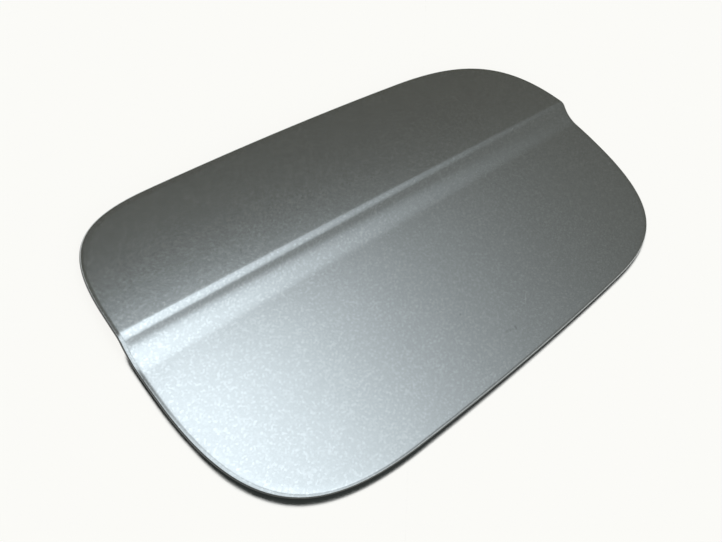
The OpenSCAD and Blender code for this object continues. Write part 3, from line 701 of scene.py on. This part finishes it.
# %% The floor tree
floor_sizes = {"Floor height": floor_height * MM, "Bead height": bead_height * MM,
               "Bead top": bead_top * MM, "Bead side": bead_side * MM, "Pad depth": pad_depth * MM}
laying, size = new_group("Lay the floor", {"Geometry": "Geometry", **floor_sizes, "Material": "Material"},
                         {"Geometry": "Geometry"})
share, above = (add_node(laying, "GeometryNodeInputNamedAttribute", {"Name": label}, data_type="FLOAT")
                for label in ("share", "above"))
brink_share, roll_out, pad_blend = 0.45, 1.25, 0.6
brink = add_node(laying, MATH, {0: size["Bead top"], 1: brink_share}, operation="MULTIPLY")
foot = add_node(laying, MATH, {0: size["Bead side"], 1: roll_out, 2: brink}, operation="MULTIPLY_ADD")
sunk = add_node(laying, MATH, {0: size["Pad depth"], 1: -1.0}, operation="MULTIPLY")
level = add_node(laying, MATH, {0: size["Floor height"], 1: above}, operation="ADD")
fields = [(x * MM, y * MM, length / 2 * MM, 0.0, foot, brink, size["Bead height"]) for x, y, length in beads]
wall = plate_corner + plate_room + panel_gauge / 2
for x, plate in ((hinge_x, hinge_plate), (latch_x, latch_plate)):
    half = [(extent / 2 - plate_corner) * MM for extent in plate]
    fields.append((x * MM, mount_y * MM, *half, (wall + pad_blend) * MM, (wall - pad_blend) * MM, sunk))
for values in fields:
    field = add_node(laying, "GeometryNodeGroup", dict(zip(relief_labels, values)), node_tree=relief)
    level = add_node(laying, MATH, {0: level, 1: field}, operation="ADD")
here = add_node(laying, "GeometryNodeInputPosition")
here_xyz = add_node(laying, "ShaderNodeSeparateXYZ", {0: here}).outputs
flat = add_node(laying, "ShaderNodeCombineXYZ", {0: here_xyz["X"], 1: here_xyz["Y"], 2: level})
apart = add_node(laying, VECTOR_MATH, {0: flat, 1: here}, operation="SUBTRACT")
apart = add_node(laying, VECTOR_MATH, {0: apart, "Scale": share}, operation="SCALE")
laid = add_node(laying, "GeometryNodeSetPosition", {"Geometry": size["Geometry"], "Offset": apart})
realized = add_node(laying, "GeometryNodeRealizeInstances", {"Geometry": laid})
finished = add_node(laying, "GeometryNodeSetMaterial", {
    "Geometry": realized, "Material": size["Material"]})
add_node(laying, "NodeGroupOutput", {"Geometry": finished})
print("floor tree:", len(laying.nodes), "nodes")

# %% Solids of revolution
def turned_mesh(name, profile, places, sides=48):
    """One mesh of solids of revolution, with the (radius, height) profile at each (x, y) place, in mm."""
    points, faces, count = [], [], len(profile)
    for x, y in places:
        starts = [len(points) + k * count for k in range(sides)]
        for k in range(sides):
            a = 2 * math.pi * k / sides
            points += [((x + r * math.cos(a)) * MM, (y + r * math.sin(a)) * MM, z * MM) for r, z in profile]
        for a, b in zip(starts, starts[1:] + starts[:1]):
            faces += [(a + j, b + j, b + j + 1, a + j + 1) for j in range(count - 1)]
        faces += [starts[::-1], [start + count - 1 for start in starts]]
    mesh = bpy.data.meshes.new(name)
    mesh.from_pydata(points, [], faces)
    return mesh


# %% The inner panel, pressed, laid and drilled
hinge_screws = [(hinge_x + s * hinge_pitch / 2, mount_y) for s in (-1, 1)]
latch_screws = [(latch_x + s * latch_pitch / 2, mount_y) for s in (-1, 1)]
drill_low, drill_high, drill_room, drain_y = -2.0, 3.0, 0.9, -10.0
cutters = []
for name, radius, places in (("drills", tap_radius + drill_room, hinge_screws + latch_screws),
                             ("drains", drain_radius, [(-drain_x, drain_y), (drain_x, drain_y)])):
    drill_mesh = turned_mesh(name, [(radius, drill_low), (radius, drill_high)], places)
    cutters.append(placed(name, drill_mesh))
cutter = joined(cutters)
panel = baked("inner_panel_pressed", panel_blank, [
    (press, {"Lift": lift * MM, "Material": inner_paint, "Back material": inner_paint}),
    (laying, {"Material": inner_paint})], cutter)
bpy.data.objects.remove(cutter)
panel.data.set_sharp_from_angle(angle=fold_angle)
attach(panel, "root")
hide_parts("inner_panel")

# %% [markdown]
# ## The two screwed plates
# Each plate is cut from 1.2 mm steel. Its collars are plunged, so the steel flows up into them with a
# small fillet, and their bores are tapped. A rod with the shape of the M5 thread cuts each bore.

# %% Slab of a plate, with broken edges
def rounded_loop(centre, size, radius, z, corner_steps=9):
    """Points round a rounded rectangle, in mm, counter-clockwise."""
    points = []
    for k, (sx, sy) in enumerate(((1, 1), (-1, 1), (-1, -1), (1, -1))):
        for a in np.linspace(k * math.pi / 2, (k + 1) * math.pi / 2, corner_steps):
            points.append((centre[0] + sx * (size[0] / 2 - radius) + radius * math.cos(a),
                           centre[1] + sy * (size[1] / 2 - radius) + radius * math.sin(a), z))
    return points


def lofted_mesh(name, loops):
    """A closed mesh through loops of equal length, capped at both ends, in mm."""
    count = len(loops[0])
    points = [tuple(v * MM for v in point) for loop in loops for point in loop]
    faces = []
    for first in range(0, (len(loops) - 1) * count, count):
        for k in range(count):
            a, b = first + k, first + (k + 1) % count
            faces.append((a, b, b + count, a + count))
    faces.append(list(range(count))[::-1])
    faces.append([(len(loops) - 1) * count + k for k in range(count)])
    mesh = bpy.data.meshes.new(name)
    mesh.from_pydata(points, [], faces)
    return mesh


def break_edges(low, high, broken=0.2, softened=0.06):
    """Pairs of (height, how far the outline draws in) up a slab with broken edges."""
    return [(low, broken), (low + softened, softened), (low + broken, 0.0),
            (high - broken, 0.0), (high - softened, softened), (high, broken)]


# %% Collars and thread rods
plate_gauge, collar_height, collar_wall, thread_pitch, thread_depth = 1.2, 1.4, 1.2, 0.8, 0.38
plate_low = floor_height + panel_gauge - pad_depth
plate_high = plate_low + plate_gauge
collar_high = plate_high + collar_height
collar_radius, fillet, collar_root, overlap = tap_radius + collar_wall, 0.8, 0.4, 0.01
rim_broken, rim_softened, crest, flank = 0.25, 0.07, 1.25, 2.9
flare = [(fillet * (1 - math.sin(a)), fillet * (1 - math.cos(a))) for a in np.radians(np.linspace(0, 90, 8))]
collar_profile = [(collar_radius + fillet, plate_high - collar_root)]
collar_profile += [(collar_radius + out, plate_high - overlap + up) for out, up in flare]
collar_profile += [(collar_radius, collar_high - rim_broken),
                   (collar_radius - rim_softened, collar_high - rim_softened),
                   (collar_radius - rim_broken, collar_high)]
print("collars:", collar_height, "mm high, thread pitch", thread_pitch, "mm")


def thread_rods(name, places, sides=40, turn_steps=8, past_face=0.8, lead_in=0.45):
    """Rods in the shape of an internal thread's hollow, with a lead-in at both faces of the plate."""
    heights = np.arange(plate_low - past_face, collar_high + past_face, thread_pitch / turn_steps)
    angles = 2 * math.pi * np.arange(sides) / sides
    z, a = np.meshgrid(heights, angles, indexing="ij")
    phase = (z / thread_pitch - a / (2 * math.pi)) % 1.0
    # Steep flanks between a flat crest and a flat root
    r = tap_radius + thread_depth * np.clip(crest - np.abs(phase - 0.5) * flank, 0, 1)
    lead = np.minimum(np.abs(z - plate_low), np.abs(z - collar_high))
    r = np.maximum(r, tap_radius + lead_in - lead)
    r = np.where((z < plate_low) | (z > collar_high), tap_radius + lead_in, r)
    return [lofted_mesh(name, np.stack([x + r * np.cos(a), y + r * np.sin(a), z], -1).tolist())
            for x, y in places]


# %% The plates, joined and tapped
edge_angle = math.radians(32)


def screw_plate(name, slot, centre_x, extent, screws):
    loops = []
    for z, inset in break_edges(plate_low, plate_high):
        span = [side - 2 * inset for side in extent]
        loops.append(rounded_loop((centre_x, mount_y), span, plate_corner - inset, z))
    body = placed(name, lofted_mesh(name, loops))
    tools = [("UNION", turned_mesh("collar", collar_profile, [place])) for place in screws]
    tools += [("DIFFERENCE", mesh) for mesh in thread_rods("rod", screws)]
    helpers = []
    for operation, mesh in tools:
        helper = placed("helper", mesh)
        helpers.append(helper)
        step = body.modifiers.new(operation, "BOOLEAN")
        step.object, step.operation, step.solver = helper, operation, "EXACT"
    evaluated = body.evaluated_get(bpy.context.evaluated_depsgraph_get())
    body.data = bpy.data.meshes.new_from_object(evaluated)
    body.modifiers.clear()
    for helper in helpers:
        bpy.data.objects.remove(helper)
    body.data.materials.clear()
    body.data.materials.append(primer)
    body.data.shade_smooth()
    body.data.set_sharp_from_angle(angle=edge_angle)
    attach(body, "root")
    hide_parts(slot)
    print(name, len(body.data.polygons), "faces")


screw_plate("hinge_plate_tapped", "hinge_plate", hinge_x, hinge_plate, hinge_screws)
screw_plate("latch_plate_tapped", "latch_plate", latch_x, latch_plate, latch_screws)

# %% [markdown]
# ## The mastic pads
# Blobs of mastic are laid on the floor before the sheets are closed. They swell until they press on
# the skin, which stops it drumming. Each is lofted from the floor up to the back of the skin, so its
# top takes the skin's slope, and it is widest at half its height, as squeezed mastic is.

# %% The mastic pads, squeezed between floor and skin
pad_sides, mastic_radius, mastic_hollow, mastic_y, mastic_room = 48, 6.0, 0.7, -21.5, 0.06
mastic_places, rim_angle = (-44.0, 0.0, 44.0), math.radians(40)
ground = floor_height + panel_gauge + mastic_room
a = 2 * math.pi * np.arange(pad_sides) / pad_sides
blobs = []
for centre in mastic_places:
    loops = []
    for share in np.linspace(0, 1, 7):
        bulge = mastic_radius - mastic_hollow * (2 * share - 1) ** 4
        x, y = centre + bulge * np.cos(a), mastic_y + bulge * np.sin(a)
        z, n = face_height(x, y)
        roof = z + lift - skin_gauge / n[:, 2] - mastic_room
        loops.append(np.stack([x, y, ground + (roof - ground) * share], -1).tolist())
    blobs.append(placed("blob", lofted_mesh("blob", loops)))
pads = joined(blobs)
pads.name = pads.data.name = "mastic_pads_squeezed"
pads.data.materials.append(mastic)
pads.data.shade_smooth()
pads.data.set_sharp_from_angle(angle=rim_angle)
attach(pads, "root")
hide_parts("mastic_pads")
print(pads.name, len(pads.data.polygons), "faces")

# %% [markdown]
# ## Table
# The flap lies on a white table in a light tent. The table would render grey where the tent is dim, so
# it glows a little to the eye, and gives that up close to the hem, where the flap's shadow lies.

# %% Table
table_half, glow_seen, shadow_full, shadow_gone = 9.0, 0.86, 0.62, 0.74
table_corners = [(x * table_half, y * table_half, 0) for x, y in ((-1, -1), (1, -1), (1, 1), (-1, 1))]
floor_mesh = bpy.data.meshes.new("table")
floor_mesh.from_pydata(table_corners, [], [(0, 1, 2, 3)])
floor = placed("table", floor_mesh)
white, tree, coords = new_material("white_laminate")
# The table's own glow gives way close to the hem, and the board is darkened there, because the
# photograph's contact shadow is deep and narrow. As in the photograph, the shadow is widest along the
# lower edge, and narrower towards the far end
open_sky = add_node(tree, "ShaderNodeAmbientOcclusion", {"Distance": 2.5 * MM}, samples=16).outputs["AO"]
table_place = add_node(tree, "ShaderNodeSeparateXYZ", {0: coords}).outputs
wider = add_node(tree, "ShaderNodeMapRange", {
    "Value": table_place["Y"], "From Min": -18 * MM, "From Max": -46 * MM, "To Min": -0.04, "To Max": 0.21})
far_end = add_node(tree, "ShaderNodeMapRange", {
    "Value": table_place["X"], "From Min": -80 * MM, "From Max": 80 * MM, "To Min": 1.0, "To Max": 0.5})
wider = add_node(tree, MATH, {0: wider, 1: far_end}, operation="MULTIPLY")
covered = add_node(tree, MATH, {0: open_sky, 1: wider}, operation="SUBTRACT")
contact = add_node(tree, "ShaderNodeMapRange", {
    "Value": covered, "From Min": shadow_full, "From Max": shadow_gone})
board_colour = add_node(tree, "ShaderNodeMix", {
    "Factor": contact, "A": linear("#3C3E3B"), "B": linear("#F4F3EF")}, data_type="RGBA")
board = add_node(tree, "ShaderNodeBsdfDiffuse", {"Color": board_colour})
glow = add_node(tree, "ShaderNodeEmission", {"Color": linear("#FFFEFA"), "Strength": 1.0})
path = add_node(tree, "ShaderNodeLightPath").outputs
seen = 0.0
for ray in ("Is Camera Ray", "Is Glossy Ray", "Is Transmission Ray"):
    seen = add_node(tree, MATH, {0: seen, 1: path[ray]}, operation="ADD")
seen = add_node(tree, MATH, {0: seen, 1: glow_seen}, operation="MULTIPLY", use_clamp=True)
seen = add_node(tree, MATH, {0: seen, 1: contact}, operation="MULTIPLY")
shown = add_node(tree, "ShaderNodeMixShader", {"Fac": seen, 1: board, 2: glow})
add_node(tree, "ShaderNodeOutputMaterial", {"Surface": shown})
floor_mesh.materials.append(white)
print("table:", 2 * table_half, "m wide")

# %% [markdown]
# ## Light
# The light is drawn on the world. The tent's roof is brightest a little way from overhead, towards the
# far end, and fades beyond that, and a pale wall stands on the camera's side. The rest of the room is
# dim, and the far half of the paint mirrors that. Each is a ramp over the direction of the light, and
# all were set by comparing tones with the photograph at the same places on the face.

# %% Directions and ramps
roof_light, wall_light, room_light = 2.75, 1.5, 0.077
world = bpy.data.worlds.new("light_tent")
bpy.context.scene.world = world
world.use_nodes = True
tree = world.node_tree
tree.nodes.clear()
view_way = add_node(tree, "ShaderNodeTexCoord").outputs["Generated"]
way = add_node(tree, "ShaderNodeSeparateXYZ", {0: view_way})
overhead = add_node(tree, MATH, {0: way.outputs["Z"], 1: 0.02}, operation="MAXIMUM")
aside = [add_node(tree, MATH, {0: way.outputs[axis], 1: overhead}, operation="DIVIDE")
         for axis in "XY"]


def graded(tree, socket, low, high, stops):
    """A ramp over a socket from low to high, with stops given as (value of the socket, level)."""
    span = add_node(tree, "ShaderNodeMapRange", {"Value": socket, "From Min": low, "From Max": high})
    ramp = add_node(tree, "ShaderNodeValToRGB", {"Fac": span})
    points = ramp.color_ramp.elements
    while len(points) < len(stops):
        points.new(0.5)
    for point, (value, level) in zip(points, stops):
        point.position, point.color = (value - low) / (high - low), (level, level, level, 1)
    return ramp


# %% Roof of the tent
across = graded(tree, aside[0], -1, 2, [
    (-0.9, 0.0), (-0.45, 0.25), (-0.15, 0.4), (0.0, 0.58), (0.13, 1.0), (0.22, 0.84), (0.36, 0.59),
    (0.5, 0.37), (0.63, 0.227), (0.77, 0.137), (0.92, 0.083), (1.05, 0.055), (1.22, 0.03), (1.4, 0.017),
    (1.7, 0.006)])
along_y = graded(tree, aside[1], -2, 1, [(-1.4, 0.0), (-1.05, 0.25), (-0.6, 1.0), (0.44, 1.0), (0.6, 0.0)])
level = add_node(tree, MATH, {0: across, 1: along_y}, operation="MULTIPLY")
roof = add_node(tree, MATH, {0: level, 1: roof_light}, operation="MULTIPLY")

# %% Wall on the camera's side, and the whole light
# The wall goes down to the table, and lights the roll of the hem
flat_way = add_node(tree, VECTOR_MATH, {0: view_way, 1: (1.0, 1.0, 0.0)}, operation="MULTIPLY")
flat_way = add_node(tree, VECTOR_MATH, {0: flat_way}, operation="NORMALIZE")
flat = add_node(tree, "ShaderNodeSeparateXYZ", {0: flat_way}).outputs
wall_x = graded(tree, flat["X"], -1, 1, [
    (-0.42, 1.0), (-0.03, 0.85), (0.4, 0.42), (0.645, 0.13), (0.81, 0.055), (0.97, 0.0)])
wall_y = graded(tree, flat["Y"], -1, 1, [(0.15, 1.0), (0.3, 0.5), (0.42, 0.12), (0.55, 0.03), (1.0, 0.0)])
# The wall's top is higher straight behind the camera than aside
tall = graded(tree, flat["X"], -1, 1, [(-0.9, 0.36), (-0.5, 0.2), (-0.2, 0.16), (0.3, 0.0)])
wall_top = add_node(tree, MATH, {0: way.outputs["Z"], 1: tall}, operation="SUBTRACT")
wall_height = graded(tree, wall_top, 0, 1, [(0.5, 1.0), (0.64, 0.0)])
wall = add_node(tree, MATH, {0: wall_x, 1: wall_y}, operation="MULTIPLY")
wall = add_node(tree, MATH, {0: wall, 1: wall_height}, operation="MULTIPLY")
upward = add_node(tree, MATH, {0: way.outputs["Z"], 1: -0.01}, operation="GREATER_THAN")
level = add_node(tree, MATH, {0: wall, 1: wall_light, 2: roof}, operation="MULTIPLY_ADD")
level = add_node(tree, MATH, {0: level, 1: upward}, operation="MULTIPLY")
soft = add_node(tree, "ShaderNodeBackground", {"Color": linear("#F0F8FF"), "Strength": level})
room = add_node(tree, "ShaderNodeBackground", {"Color": linear("#FFF2C6"), "Strength": room_light})
both = add_node(tree, "ShaderNodeAddShader", {0: soft, 1: room})
add_node(tree, "ShaderNodeOutputWorld", {"Surface": both})
print("light tent:", len(tree.nodes), "nodes")

# %% [markdown]
# ## Camera
# Its place, turn and focal length come from a fit to the photograph's outline and feature line, with
# the flap's length held at its real size. The length of the lens follows from the focal length in
# pixels and the width of the photograph.

# %% Camera
focal_pixels, photo_pixels, sensor = 639.355, 722.0, 36.0
place_mm = Vector((-131.9095, -50.8053, 156.4417 + lift))
elevation, azimuth, roll = (math.radians(a) for a in (54.7346, -154.9311, -29.2782))
level_back = Vector((math.cos(azimuth), math.sin(azimuth), 0))
back = level_back * math.cos(elevation) + Vector((0, 0, math.sin(elevation)))
right = (-back).cross(Vector((0, 0, 1))).normalized()
down = (-back).cross(right)
turned_right = right * math.cos(roll) + down * math.sin(roll)
turned_down = -right * math.sin(roll) + down * math.cos(roll)
camera_data = bpy.data.cameras.new("camera")
camera_data.sensor_width, camera_data.lens = sensor, focal_pixels * sensor / photo_pixels
camera_data.clip_start, camera_data.clip_end = 0.01, 100.0
camera = placed("camera", camera_data)
axes = Matrix((turned_right, -turned_down, back)).transposed()
camera.matrix_world = Matrix.Translation(place_mm * MM) @ axes.to_4x4()
bpy.context.scene.camera = camera
bpy.context.scene.view_settings.view_transform = "Standard"
print("lens:", round(camera_data.lens, 2), "mm")
